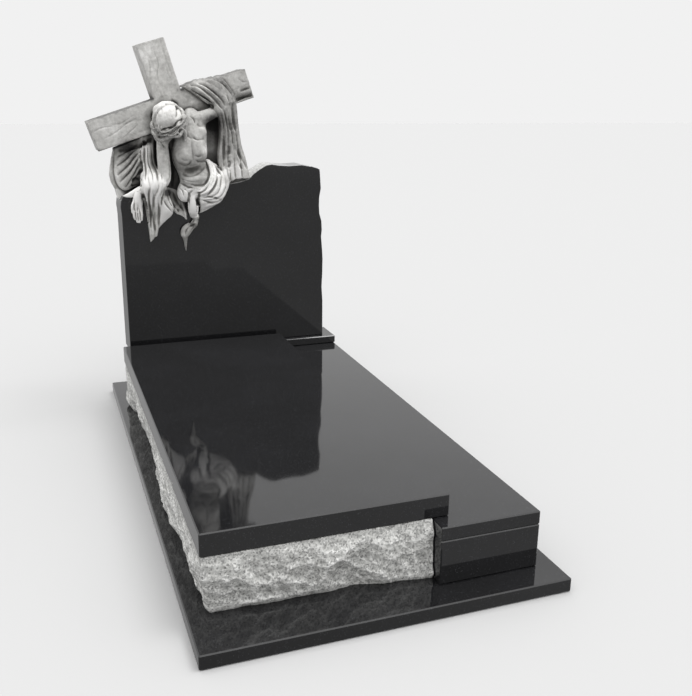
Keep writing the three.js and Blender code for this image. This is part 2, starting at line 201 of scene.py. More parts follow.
def seen(rows):
    """Rows of x, y, z and any sizes, with x and z as they show against the headstone's front from the
    camera's place: each is drawn along that line of sight to its own depth y, sizes in proportion."""
    rows = np.array(rows, float)
    share = (rows[..., 1] - CAMERA_PLACE[1]) / (HEADSTONE_FRONT - CAMERA_PLACE[1])
    rows[..., 0] = CAMERA_PLACE[0] + (rows[..., 0] - CAMERA_PLACE[0]) * share
    rows[..., 2] = CAMERA_PLACE[2] + (rows[..., 2] - CAMERA_PLACE[2]) * share
    rows[..., 3:] *= share[..., None]
    return rows


def unit(vectors):
    return vectors / np.maximum(np.linalg.norm(vectors, axis=-1, keepdims=True), 1e-9)


def spline(points, count):
    """Catmull-Rom curve: each span is the cubic through its two ends, steered by their neighbours."""
    points = np.asarray(points, float)
    padded = np.concatenate([[2 * points[0] - points[1]], points, [2 * points[-1] - points[-2]]])
    place = np.linspace(0, len(points) - 1, count)
    span = np.minimum(place.astype(int), len(points) - 2)
    t = (place - span).reshape(-1, *[1] * (points.ndim - 1))
    a, b, c, d = (padded[span + step] for step in range(4))
    return 0.5 * (2 * b + (c - a) * t + (2 * a - 5 * b + 4 * c - d) * t**2 + (3 * b - a - 3 * c + d) * t**3)


def closed_rings(skin):
    """Faces of a skin of rings, each joined to the next, with its first and last ring closed flat."""
    rings, sides = skin.shape[:2]
    start = np.arange(rings - 1)[:, None] * sides
    here = np.arange(sides)[None, :]
    after = (here + 1) % sides
    faces = np.stack([start + here, start + after, start + sides + after, start + sides + here], -1)
    ends = [list(range(sides))[::-1], list(range((rings - 1) * sides, rings * sides))]
    return skin.reshape(-1, 3), faces.reshape(-1, 4).tolist() + ends


def tube(stations, sides=24, spacing=3.0, bend=(0.0, 1.0, 0.0)):
    """A limb: an ellipse of half width and half depth carried along the spline through its stations
    of x, y, z, half width and half depth, closed at each end by half an ellipsoid."""
    rows = np.array([[*row, row[3]] if len(row) == 4 else row for row in stations], float)
    length = np.linalg.norm(np.diff(rows[:, :3], axis=0), axis=1).sum()
    path = spline(rows, max(8, int(length / spacing)))
    path[:, 3:] = np.maximum(path[:, 3:], 0.4)
    along = unit(np.gradient(path[:, :3], axis=0))
    turn = np.linspace(0, np.pi / 2, 7)[1:, None]
    caps = []
    for end, sign in ((0, -1), (-1, 1)):
        cap = np.repeat(path[end][None], len(turn), 0)
        cap[:, :3] += sign * along[end] * np.sin(turn) * path[end, 3]
        cap[:, 3:] *= np.maximum(np.cos(turn), 0.05)
        caps.append(cap)
    path = np.concatenate([caps[0][::-1], path, caps[1]])
    along = np.concatenate([np.repeat(along[:1], len(turn), 0), along, np.repeat(along[-1:], len(turn), 0)])
    across = unit(np.cross(bend, along))
    outward = np.cross(along, across)
    angle = np.linspace(0, 2 * np.pi, sides, endpoint=False)[None, :, None]
    return closed_rings(path[:, None, :3] + across[:, None] * np.cos(angle) * path[:, None, 3:4]
                        + outward[:, None] * np.sin(angle) * path[:, None, 4:5])


def ball(x, y, z, width, depth, height, tilt=0.0):
    """An ellipsoid of rings from pole to pole, tilted in the plane of the headstone."""
    polar = np.linspace(0.03, np.pi - 0.03, 28)[:, None]
    round_ = np.linspace(0, 2 * np.pi, 36, endpoint=False)[None, :]
    across = width * np.sin(polar) * np.cos(round_)
    deep = depth * np.sin(polar) * np.sin(round_)
    up = height * np.cos(polar) * np.ones_like(round_)
    turn = math.radians(tilt)
    skin = np.stack([x + across * math.cos(turn) + up * math.sin(turn), y + deep,
                     z + up * math.cos(turn) - across * math.sin(turn)], -1)
    return closed_rings(skin[::-1])


def cloth(guides, folds, depth, thickness, seed=1.0, slack=0.4, free_from=0.0):
    """Hanging cloth: a sheet through guide lines, as seen, from its top to its hem, raised along its
    own normal by depth times the |sine| of its folds, so that they are full and their valleys sharp;
    it is slack by that share of the depth down to where it hangs free; its back has no folds."""
    rows, columns = 150, 150
    sheet = np.stack([spline(seen(guide), rows) for guide in guides])
    sheet = np.moveaxis(spline(sheet, columns), 0, 1)
    u = np.linspace(0, 1, columns)[None, :]
    v = np.linspace(0, 1, rows)[:, None]
    phase = folds * u + 0.16 * np.sin(2 * np.pi * (0.9 * v + 0.7 * u) + seed) + 0.08 * np.sin(13 * v - 9 * u)
    crest = (0.8 + 0.2 * np.sin(2.6 * phase + seed)) * np.abs(np.sin(np.pi * phase)) ** 0.8
    edge = np.clip(7 * u, 0.15, 1) * np.clip(7 * (1 - u), 0.15, 1)
    fade = np.clip(slack + 2 * (v - free_from), slack, 1) * edge
    normal = unit(np.cross(np.gradient(sheet, axis=1), np.gradient(sheet, axis=0)))
    normal = normal * np.where(normal[..., 1:2] > 0, -1, 1)
    front = sheet + normal * (depth * crest * fade)[..., None]
    back = sheet + np.array([0.0, thickness, 0.0])
    points, faces = closed_rings(np.concatenate([front, back[:, ::-1]], axis=1))
    faces = faces[:-2]
    strip = np.arange(columns - 1)
    for start, turn in ((0, 1), ((rows - 1) * 2 * columns, -1)):
        mirror = start + 2 * columns - 1 - strip
        faces += np.stack([start + strip + 1, start + strip, mirror, mirror - 1], -1)[:, ::turn].tolist()
    return points, faces


def plate(outline, front, back):
    """A flat plate: an outline of x, z carried from its front depth to its back depth."""
    x, z = np.array(outline, float).T
    return closed_rings(np.stack([np.stack([x, np.full(len(x), y), z], -1) for y in (front, back)]))


def mesh_of(shells):
    """One mesh holding every shell, its faces turned outwards."""
    points, faces, start = [], [], 0
    for shell_points, shell_faces in shells:
        points.append(shell_points)
        faces += [[index + start for index in face] for face in shell_faces]
        start += len(shell_points)
    mesh = bpy.data.meshes.new("carving")
    mesh.from_pydata(to_frame(np.concatenate(points)).tolist(), [], faces)
    edit = bmesh.new()
    edit.from_mesh(mesh)
    bmesh.ops.recalc_face_normals(edit, faces=edit.faces)
    edit.to_mesh(mesh)
    edit.free()
    return mesh


def worked(mesh, modifiers):
    """The mesh after its modifiers, each a kind and its settings."""
    holder = placed("blank", mesh)
    for kind, settings in modifiers:
        modifier = holder.modifiers.new(kind.lower(), kind)
        for name, value in settings.items():
            setattr(modifier, name, value)
    shaped = bpy.data.meshes.new_from_object(holder.evaluated_get(bpy.context.evaluated_depsgraph_get()))
    bpy.data.objects.remove(holder)
    return shaped


def fused(shells, grain, rasp):
    """All shells as one skin of cells of the grain's size, softened by the rasp's number of passes."""
    return worked(mesh_of(shells), [
        ("REMESH", {"mode": "VOXEL", "voxel_size": grain / 1000}),
        ("SMOOTH", {"factor": 0.5, "iterations": rasp}),
    ])


def shell_of(mesh):
    """A fused mesh as a shell in millimetres, to be fused again with others."""
    points = np.empty(len(mesh.vertices) * 3)
    mesh.vertices.foreach_get("co", points)
    corners = np.empty(len(mesh.loops), int)
    mesh.loops.foreach_get("vertex_index", corners)
    return (points.reshape(-1, 3) - corner) * 1000, corners.reshape(-1, 4).tolist()


# The cross: two squared beams leaning to the left, hewn along the grain and checked with drying cracks
CROSSING = (280.0, 1198.0)
BEAM_FRONT, BEAM_BACK = 1765.0, 1903.0
ARM_HALF, ARM_WIDTH, ARM_TILT = 321.0, 115.0, 18.4
STEM_UP, STEM_DOWN, STEM_WIDTH, STEM_TILT = 259.0, 290.0, 108.0, 16.6


def timber(start, end, width, front, back, seed):
    """A squared beam: the outline of a rectangle carried from end to end, its faces sunk along
    wandering cracks by a rounded groove, and uneven by slow waves as an axe leaves them."""
    start, end = (np.array([x, (front + back) / 2, z], float) for x, z in (start, end))
    length = np.linalg.norm(end - start)
    grain = (end - start) / length
    across = np.array([grain[2], 0.0, -grain[0]])
    girth = 2 * (width + back - front)
    place = np.linspace(0, girth, int(girth / 2.2), endpoint=False)
    side = np.clip([place, place - width, place - width - (back - front), place - girth + back - front],
                   0, [[width], [back - front], [width], [back - front]])
    flat = side[0] - side[2] - width / 2
    deep = side[1] - side[3] - (back - front) / 2
    for _ in range(3):
        flat, deep = (0.5 * c + 0.25 * (np.roll(c, 1) + np.roll(c, -1)) for c in (flat, deep))
    inward = -unit(np.stack([flat / width**2 * np.abs(flat) ** 6,
                             deep / (back - front) ** 2 * np.abs(deep) ** 6], -1))
    run = np.linspace(0, length, int(length / 2.5))[:, None]
    rng = np.random.default_rng(seed)
    cracks = rng.random((26, 1, 1, 5))
    line = (cracks[..., 0] * girth + 5 * np.sin(run / 83 + 9 * cracks[..., 1])
            + 2.5 * np.sin(run / 29 + 9 * cracks[..., 2]))
    gap = np.abs((place[None, None, :] - line + girth / 2) % girth - girth / 2)
    reach = np.clip(4 - 8 * np.abs(run[None] / length - cracks[..., 3]) / (0.2 + cracks[..., 4]), 0, 1)
    sunk = (reach * (0.3 + 0.7 * cracks[..., 4]) * np.exp(-(gap / 3.0) ** 2)).sum(0)
    uneven = 0.7 * np.sin(run / 47 + place / 31 + seed) + 0.5 * np.sin(run / 21 - place / 17)
    shift = np.clip(sunk, 0, 2.2) + 0.5 * uneven + 0.6
    x = flat + inward[:, 0] * shift
    y = deep + inward[:, 1] * shift
    skin = start + run[..., None] * grain + x[..., None] * across + y[..., None] * np.array([0.0, 1.0, 0.0])
    return closed_rings(skin)


def along_beam(tilt, distance):
    """The x and z of a point on a beam's middle line, so far from the crossing."""
    turn = math.radians(tilt)
    return CROSSING[0] + distance * math.cos(turn), CROSSING[1] + distance * math.sin(turn)


def cross():
    return [
        timber(along_beam(ARM_TILT, -ARM_HALF), along_beam(ARM_TILT, ARM_HALF), ARM_WIDTH,
               BEAM_FRONT, BEAM_BACK, 3),
        timber(along_beam(STEM_TILT + 90, -STEM_DOWN), along_beam(STEM_TILT + 90, STEM_UP), STEM_WIDTH,
               BEAM_FRONT + 1, BEAM_BACK - 1, 8),
    ]


# The shroud: heavy cloth slung over both arms of the cross, over the forearm and round the hips
def shroud():
    fan = [
        [[155, 1802, 1094], [102, 1806, 1072], [54, 1808, 1052]],
        [[156, 1798, 1086], [100, 1788, 1040], [51, 1794, 1000]],
        [[157, 1794, 1080], [104, 1776, 1012], [50, 1784, 955]],
        [[158, 1790, 1072], [112, 1768, 990], [60, 1780, 912]],
        [[160, 1786, 1066], [128, 1766, 985], [82, 1778, 893]],
        [[162, 1784, 1062], [146, 1768, 985], [112, 1784, 902]],
        [[164, 1784, 1060], [156, 1772, 985], [142, 1788, 914]],
    ]
    fall = [
        [[150, 1798, 1094], [148, 1776, 1000], [148, 1734, 942], [148, 1716, 905], [151, 1736, 868],
         [162, 1760, 800], [168, 1768, 740], [171, 1772, 682]],
        [[180, 1796, 1102], [178, 1764, 1000], [190, 1700, 942], [194, 1686, 905], [186, 1712, 862],
         [185, 1750, 795], [184, 1764, 735], [183, 1768, 700]],
        [[206, 1798, 1112], [205, 1774, 1000], [238, 1694, 944], [242, 1680, 905], [220, 1712, 850],
         [216, 1750, 790], [206, 1768, 742], [199, 1772, 716]],
    ]
    flare = [
        [[206, 1706, 912], [211, 1722, 860], [212, 1746, 800], [204, 1768, 738]],
        [[228, 1706, 905], [236, 1726, 850], [238, 1736, 812], [232, 1762, 774]],
        [[244, 1718, 905], [256, 1740, 862], [268, 1752, 825], [264, 1766, 795]],
    ]
    inner = [
        [[228, 1768, 905], [248, 1780, 850], [264, 1782, 818], [276, 1782, 797]],
        [[268, 1780, 895], [284, 1784, 845], [298, 1782, 808], [302, 1784, 785]],
        [[304, 1784, 880], [314, 1786, 830], [321, 1784, 795], [320, 1786, 768]],
    ]
    right = [
        [[310, 1852, 1290], [316, 1760, 1284], [342, 1744, 1274], [396, 1732, 1238], [448, 1722, 1200],
         [466, 1736, 1160], [468, 1750, 1100], [462, 1758, 1050], [458, 1765, 990], [466, 1772, 915]],
        [[372, 1854, 1309], [372, 1758, 1302], [404, 1738, 1266], [448, 1724, 1228], [478, 1720, 1192],
         [488, 1738, 1140], [488, 1752, 1070], [486, 1762, 990], [494, 1774, 915]],
        [[430, 1856, 1320], [430, 1758, 1313], [462, 1740, 1278], [494, 1728, 1242], [508, 1732, 1195],
         [512, 1748, 1140], [516, 1757, 1070], [523, 1762, 1000], [532, 1778, 930]],
        [[478, 1858, 1330], [478, 1760, 1322], [508, 1748, 1285], [530, 1744, 1250], [537, 1752, 1200],
         [541, 1764, 1140], [552, 1770, 1060], [570, 1772, 1000], [584, 1780, 928]],
    ]
    flap = seen([[138, 1748, 892, 15, 9], [110, 1756, 878, 13, 8],
                 [88, 1764, 873, 7, 6], [73, 1772, 873, 2, 3]])
    return [
        cloth(fan, folds=0, depth=0, thickness=86),
        cloth(fall, folds=3, depth=10, thickness=40, seed=0.4),
        cloth(flare, folds=1, depth=12, thickness=30, seed=3.0),
        cloth(inner, folds=3, depth=8, thickness=24, seed=1.2),
        cloth(right, folds=5, depth=11, thickness=44, slack=0.25, free_from=0.36, seed=4.0),
        tube(flap),
    ]


def backing():
    """The uncut block behind the figure and the cloth, which carries them on the headstone."""
    block = [
        (60, 855), (52, 893), (38, 922), (33, 950), (44, 1008), (56, 1048), (200, 1105), (300, 1130),
        (330, 1240), (420, 1280), (526, 1285), (530, 1200), (537, 1140), (548, 1060), (565, 1000),
        (577, 955), (582, 925), (500, 880), (330, 835), (200, 835), (100, 845),
    ]
    return [plate(block, 1824, 1872)]


# The figure: hung by the arms, its chest turned up and forward, its knees drawn to the left
def body():
    trunk = seen([
        [352, 1756, 1174, 34, 24], [352, 1746, 1150, 54, 36], [350, 1740, 1120, 61, 46],
        [347, 1736, 1085, 63, 52], [343, 1734, 1050, 68, 54], [340, 1738, 1018, 70, 48],
        [344, 1754, 988, 62, 34], [352, 1760, 962, 60, 32], [360, 1752, 935, 62, 40],
        [370, 1754, 905, 62, 42], [378, 1760, 870, 52, 36],
    ])
    raised = seen([
        [345, 1744, 1152, 32, 32], [385, 1740, 1164, 28, 28], [425, 1742, 1180, 24, 23],
        [455, 1748, 1193, 21, 20], [500, 1752, 1225, 17, 17],
    ])
    hanging = seen([
        [300, 1740, 1138, 30, 30], [262, 1730, 1112, 28, 28], [238, 1718, 1075, 23, 24],
        [237, 1710, 1020, 25, 25], [239, 1706, 965, 26, 27], [230, 1704, 925, 27, 26],
        [190, 1714, 906, 23, 22], [145, 1738, 892, 16, 15],
    ])
    forms = [
        (326, 1708, 1112, 38, 16, 26, 20), (380, 1710, 1110, 34, 16, 26, -14),
        (320, 1702, 1026, 38, 24, 38, 12), (382, 1706, 1032, 30, 22, 30, -8),
        (358, 1722, 932, 50, 24, 20, -8), (320, 1748, 885, 36, 26, 46, 14),
    ]
    return [tube(trunk, sides=32), tube(raised), tube(hanging),
            *[ball(*seen([form[:6]])[0], tilt=form[6]) for form in forms]]


def hand():
    """A hand hanging from the wrist with its fingers together and its thumb beside them."""
    palm = [[140, 1744, 893, 15, 14], [132, 1744, 868, 17, 13], [128, 1748, 842, 20, 13],
            [125, 1752, 815, 20, 12], [125, 1756, 800, 17, 9]]
    fingers = []
    for finger, tip in enumerate((776, 765, 763, 772)):
        x = 112 + 9.5 * finger
        fingers.append([[x, 1752, 818, 6, 8], [x + 1, 1753, 795, 5.6, 7.5],
                        [x + 3 - finger, 1761, tip + 5, 4.6, 6]])
    thumb = [[119, 1744, 856, 7, 7], [109, 1744, 832, 6.5, 7], [107, 1750, 808, 5, 6]]
    return [tube(seen(part)) for part in (palm, thumb, *fingers)]


def loincloth():
    """Cloth wound round the hips: crescent folds that gather above the knee."""
    wrap = [
        [[404, 1754, 1006], [414, 1734, 984], [418, 1716, 948],
         [404, 1708, 912], [382, 1712, 893], [352, 1726, 893]],
        [[414, 1758, 1006], [434, 1740, 972], [436, 1720, 935],
         [418, 1710, 898], [388, 1714, 880], [354, 1730, 878]],
        [[428, 1764, 996], [450, 1748, 960], [454, 1730, 922],
         [434, 1720, 886], [400, 1720, 866], [358, 1736, 866]],
        [[446, 1770, 984], [468, 1758, 945], [470, 1744, 905],
         [452, 1736, 868], [410, 1730, 856], [362, 1742, 856]],
        [[466, 1776, 976], [486, 1768, 930], [484, 1760, 890],
         [462, 1754, 850], [418, 1744, 838], [366, 1750, 842]],
        [[496, 1782, 968], [500, 1780, 925], [480, 1778, 880],
         [454, 1776, 838], [410, 1770, 811], [371, 1772, 793]],
    ]
    lobe = seen([[482, 1774, 988, 16, 16], [480, 1768, 940, 20, 20],
                 [474, 1768, 895, 18, 18], [462, 1772, 862, 10, 12]])
    return [cloth(wrap, folds=6, depth=9, thickness=60, slack=0.5, seed=5.0), tube(lobe)]


def legs():
    """Shin, then the feet crossed under it, broken away, and the point that ends the group."""
    parts = [
        [[351, 1740, 884, 6, 8], [349, 1738, 860, 17, 15], [347, 1742, 830, 21, 18], [347, 1750, 804, 20, 16],
         [347, 1762, 788, 15, 10]],
        [[352, 1764, 792, 12, 10], [358, 1763, 780, 12, 10], [354, 1768, 768, 10, 9]],
        [[358, 1770, 772, 9, 7], [350, 1766, 757, 14, 12], [342, 1770, 745, 13, 10]],
        [[346, 1772, 752, 12, 10], [327, 1770, 733, 15, 11],
         [313, 1772, 712, 14, 11], [308, 1777, 694, 9, 8]],
        [[324, 1776, 750, 8, 7], [305, 1773, 734, 9, 8], [298, 1775, 716, 7, 7], [301, 1778, 704, 6, 6]],
        [[309, 1776, 704, 12, 8], [310, 1779, 686, 8, 6], [310, 1781, 666, 5, 4], [311, 1783, 644, 1.5, 2]],
    ]
    return [tube(seen(part)) for part in parts]


# The head: bowed down and to the left. Made upright about its own middle (x to its left, y back, z up)
# and then laid over. The face is a plain calm one with closed eyes, drawn by the usual rule of thirds.
HEAD_MIDDLE = (262.0, 1696.0, 1145.0)
HEAD_UP = (-0.15, -0.50, 0.85)
HEAD_FACING = (0.30, -0.68, -0.67)


def laid_over(shells):
    """Shells about the head's middle, turned by its own three directions and moved to its place."""
    up = unit(np.array(HEAD_UP))
    side = unit(np.cross(HEAD_FACING, up))
    back = np.cross(up, side)
    turn = np.stack([side, back, up])
    return [(points @ turn + seen(HEAD_MIDDLE), faces) for points, faces in shells]


def skull():
    """Skull, cheeks, jaw and brows: the eyes halfway up, brow, nose and chin a third apart."""
    both = (-1, 1)
    return laid_over([
        ball(0, 8, 30, 52, 60, 55),
        ball(0, -16, -14, 38, 40, 50),
        ball(0, -30, -55, 20, 19, 18),
        *[ball(s * 18, -48, 13, 16, 8, 7, tilt=-6 * s) for s in both],
        *[ball(s * 23, -42, -18, 12, 12, 12) for s in both],
    ])


def features():
    """Closed lids, nose and lips, joined after the first softening."""
    both = (-1, 1)
    return laid_over([
        *[ball(s * 17, -49, 3, 9, 7, 5) for s in both],
        tube([[0, -54, 12, 4, 5], [0, -62, -6, 5, 6], [0, -69, -24, 8, 8]]),
        tube([[-11, -52, -41, 1.5, 2], [-4, -57, -39, 3, 3], [4, -57, -39, 3, 3], [11, -52, -41, 1.5, 2]]),
        tube([[-9, -51, -47, 2, 2], [0, -56, -48, 4, 3], [9, -51, -47, 2, 2]]),
    ])


def wavy(start, end, width, waves, swing, phase):
    """A lock of hair or beard: a tapering tube that swings from side to side as it runs."""
    t = np.linspace(0, 1, 11)[:, None]
    start, end = np.array(start, float), np.array(end, float)
    side = unit(np.cross(end - start, (0.3, 1.0, 0.2)))
    middle = start + (end - start) * t + side * swing * np.sin(2 * np.pi * waves * t + phase)
    thick = width * (0.3 + 0.7 * np.sin(np.pi * (0.15 + 0.8 * t)))
    return tube(np.concatenate([middle, thick, thick], 1), sides=12)


def hair():
    """Fine locks combed over the skull, longer ones hanging beside the face, and a short curled beard."""
    rng = np.random.default_rng(11)
    locks = []
    for lock in range(15):
        turn = math.radians(-84 + 12 * lock)
        rise = np.linspace(0.15, 1.5, 7)[:, None]
        x = 54 * np.sin(turn + 0.12 * np.sin(4 * rise + lock)) * np.sin(rise)
        y = 8 - 62 * np.cos(turn) * np.sin(rise)
        z = 30 + 57 * np.cos(rise)
        locks.append(tube(np.concatenate([x, y, z, 5.2 * np.sin(rise + 0.2), 4.5 + 0 * rise], 1), sides=12))
    for side in (-1, 1):
        for lock in range(8):
            turn = math.radians(34 + 14 * lock)
            x, y = side * 50 * math.sin(turn), 6 - 56 * math.cos(turn)
            end = (x * 1.05 + side * 4, y + 8, -52 - 24 * rng.random())
            locks.append(wavy((x, y, 22), end, 8.0, 1.5, 5.0, 6 * rng.random()))
    for lock in range(13):
        turn = math.radians(-78 + 13 * lock)
        x, y = 31 * math.sin(turn), -20 - 28 * math.cos(turn)
        end = (x * 0.45, y - 6, -82 - 24 * math.cos(turn))
        locks.append(wavy((x, y, -42), end, 7.0, 1.3, 3.5, 6 * rng.random()))
    return laid_over(locks)


def crown():
    """Thorn twigs: strands wound round each other on a tilted ring about the head, with thorns."""
    count = 150
    round_ = np.linspace(0, 2 * np.pi, count)[:, None]
    ring = np.concatenate([57 * np.sin(round_), 6 - 67 * np.cos(round_),
                           5 - 6 * np.cos(round_) - 20 * np.sin(round_)], 1)
    outward = unit(ring * (1.0, 1.0, 0.0) - (0.0, 6.0, 0.0))
    upward = np.array([0.0, 0.0, 1.0])
    along = unit(np.gradient(ring, axis=0))
    twigs = []
    for strand in range(-1, 2):
        rise = 16 * strand + 4 * np.sin(6 * round_ + 2.2 * strand)
        reach = 4 - 2 * strand + 3 * np.sin(5 * round_ + 1.7 * strand)
        thick = 5.8 + 1.3 * np.sin(9 * round_ + 3 * strand)
        path = ring + reach * outward + rise * upward
        twigs.append(tube(np.concatenate([path, thick, thick], 1), sides=10))
    rng = np.random.default_rng(5)
    for place in range(3, count, 8):
        lean = unit(outward[place] * rng.uniform(0.2, 1) + upward * rng.uniform(-1, 1) + 0.4 * along[place])
        root = ring[place] + 4 * outward[place]
        tip = root + 17 * lean
        twigs.append(tube([[*root, 4.5], [*((root + tip) / 2), 3.2], [*tip, 1.5]], sides=8))
    return laid_over(twigs)


# Chisel strokes on the joined group, as seen: half width, depth (less than nothing stands proud), path
BEAM_STROKES = [
    (9, 24, [(66, 1044), (120, 1058), (168, 1075), (208, 1092)]),
    (8, 9, [(-22, 1044), (-6, 1038), (12, 1040)]),
    (2, 1.8, [(12, 1088), (60, 1112), (112, 1150), (165, 1172)]),
    (2, 1.5, [(50, 1142), (92, 1150), (140, 1184)]),
    (2, 1.5, [(88, 1092), (124, 1122), (150, 1146)]),
    (2, 1.5, [(-30, 1110), (10, 1130), (50, 1136)]),
    (2, 1.6, [(222, 1408), (236, 1368), (230, 1322), (246, 1270)]),
    (2, 1.4, [(196, 1396), (204, 1352), (200, 1310)]),
    (2, 1.4, [(262, 1380), (268, 1340), (284, 1302)]),
    (2, 1.6, [(540, 1322), (560, 1306), (584, 1304)]),
    (8, 20, [(352, 1274), (392, 1252), (425, 1228), (446, 1204)]),
]
FAN_STROKES = [
    (4.5, 9, [(148, 1078), (120, 1064), (92, 1042), (60, 1020)]),
    (4.5, 10, [(150, 1060), (122, 1042), (92, 1012), (54, 986)]),
    (4.5, 10, [(150, 1044), (126, 1020), (98, 988), (56, 950)]),
    (4.5, 10, [(151, 1028), (132, 1000), (108, 966), (64, 924)]),
    (4.5, 10, [(152, 1008), (138, 980), (118, 944), (84, 902)]),
    (4.5, 9, [(153, 990), (144, 966), (128, 940), (110, 912)]),
    (7, 14, [(112, 926), (128, 934), (148, 930)]),
    (5, 9, [(106, 912), (126, 908), (148, 914)]),
    (5, 9, [(153, 1080), (152, 1000), (152, 936)]),
    (3, -4, [(136, 1060), (104, 1034), (72, 1004)]),
    (3, -4, [(138, 1018), (110, 982), (74, 944)]),
    (3, -4, [(146, 984), (128, 950), (100, 912)]),
]
FALL_STROKES = [
    (4, 7, [(166, 1092), (167, 1050), (164, 1010), (166, 965), (160, 920)]),
    (4, 7, [(181, 1096), (180, 1040), (179, 1000), (190, 955), (190, 900)]),
    (3, 5, [(194, 1098), (194, 1040), (196, 1000), (208, 960), (210, 900)]),
    (3.5, 5, [(222, 965), (228, 930), (226, 890), (214, 850)]),
    (4, 7, [(176, 900), (172, 860), (176, 800), (174, 740)]),
    (5, 8, [(192, 890), (188, 835), (184, 800), (187, 765), (192, 728)]),
    (4, 6, [(209, 860), (210, 815), (206, 780), (201, 745)]),
    (4, 6, [(226, 862), (238, 838), (254, 816), (264, 801)]),
    (5, 8, [(248, 892), (256, 850), (270, 826), (290, 805)]),
    (4, 5, [(232, 885), (226, 860), (220, 830)]),
    (5, 7, [(268, 890), (280, 850), (297, 822), (314, 800)]),
    (6, 12, [(150, 880), (154, 850), (162, 810), (166, 760)]),
]
DRAPE_STROKES = [
    (4.5, 6, [(340, 1289), (382, 1286), (422, 1260), (458, 1226), (476, 1200)]),
    (4.5, 6, [(378, 1296), (412, 1288), (448, 1264), (480, 1234), (490, 1206)]),
    (4, 5, [(416, 1305), (450, 1291), (480, 1268), (502, 1240), (508, 1210)]),
    (4, 5, [(450, 1312), (484, 1294), (508, 1270), (522, 1244)]),
    (3, 3, [(398, 1290), (430, 1276), (464, 1250), (484, 1222)]),
    (3, -3, [(360, 1292), (396, 1288), (436, 1262), (468, 1230), (483, 1204)]),
    (3, -3, [(432, 1302), (464, 1282), (492, 1254), (500, 1222)]),
    (5, 6, [(486, 1198), (492, 1165), (499, 1130), (504, 1086)]),
    (4, 5, [(498, 1192), (505, 1150), (509, 1106)]),
    (4, 3, [(470, 1188), (478, 1150), (484, 1100), (480, 1060)]),
    (14, 12, [(514, 1226), (522, 1195), (522, 1150), (518, 1115)]),
    (7, 6, [(477, 1100), (478, 1050), (480, 1000)]),
    (7, 7, [(503, 1060), (503, 1040), (500, 1022)]),
    (7, 8, [(500, 1002), (503, 988), (497, 972)]),
    (6, 6, [(521, 1066), (531, 1042), (546, 1014), (562, 990), (574, 964)]),
    (5.5, 4, [(528, 1010), (540, 985), (552, 965)]),
    (5.5, -3, [(512, 1070), (516, 1040), (518, 1010)]),
    (11, 20, [(530, 1230), (552, 1238), (580, 1246), (606, 1260)]),
    (5, 6, [(548, 1268), (572, 1276), (596, 1284)]),
]
LOINCLOTH_STROKES = [
    (4, 5, [(428, 968), (427, 940), (416, 912), (398, 888), (378, 875), (357, 874)]),
    (3, 2, [(437, 975), (441, 945), (431, 915), (412, 888), (388, 867)]),
    (5, 7, [(452, 942), (448, 920), (436, 895), (418, 873), (400, 861), (366, 858)]),
    (3.5, 3, [(457, 945), (462, 920), (457, 895)]),
    (4, 6, [(402, 858), (425, 856), (445, 850), (463, 845)]),
    (4, 5, [(365, 845), (390, 843), (412, 836), (432, 830)]),
    (4, 4, [(412, 990), (418, 955), (408, 925), (392, 908), (372, 902), (350, 904)]),
    (5.5, 8, [(357, 862), (366, 840), (370, 815), (371, 795)]),
    (5.5, 6, [(353, 888), (338, 878), (330, 858), (326, 830), (324, 800)]),
    (7, 8, [(446, 985), (455, 962), (456, 944)]),
    (4, 4, [(488, 978), (494, 945), (498, 916)]),
    (4, 3, [(305, 880), (318, 892), (338, 896), (356, 894)]),
]
HEAD_STROKES = [
    (3, 9, [(225, 1114), (237, 1122), (260, 1127), (283, 1136), (301, 1154), (324, 1162)]),
    (3, 8, [(219, 1096), (237, 1104), (260, 1109), (283, 1109), (301, 1127), (328, 1150)]),
    (6, 9, [(276, 1234), (298, 1220), (302, 1188), (294, 1164)]),
    (3, 6, [(203, 1190), (200, 1166), (206, 1142)]),
    (1.6, 2.0, [(238, 1222), (240, 1186), (236, 1152)]),
    (1.6, 2.0, [(262, 1210), (256, 1180), (264, 1148)]),
    (1.6, 1.8, [(220, 1204), (226, 1172), (222, 1150)]),
    (1.6, 1.8, [(278, 1200), (276, 1176), (282, 1158)]),
]
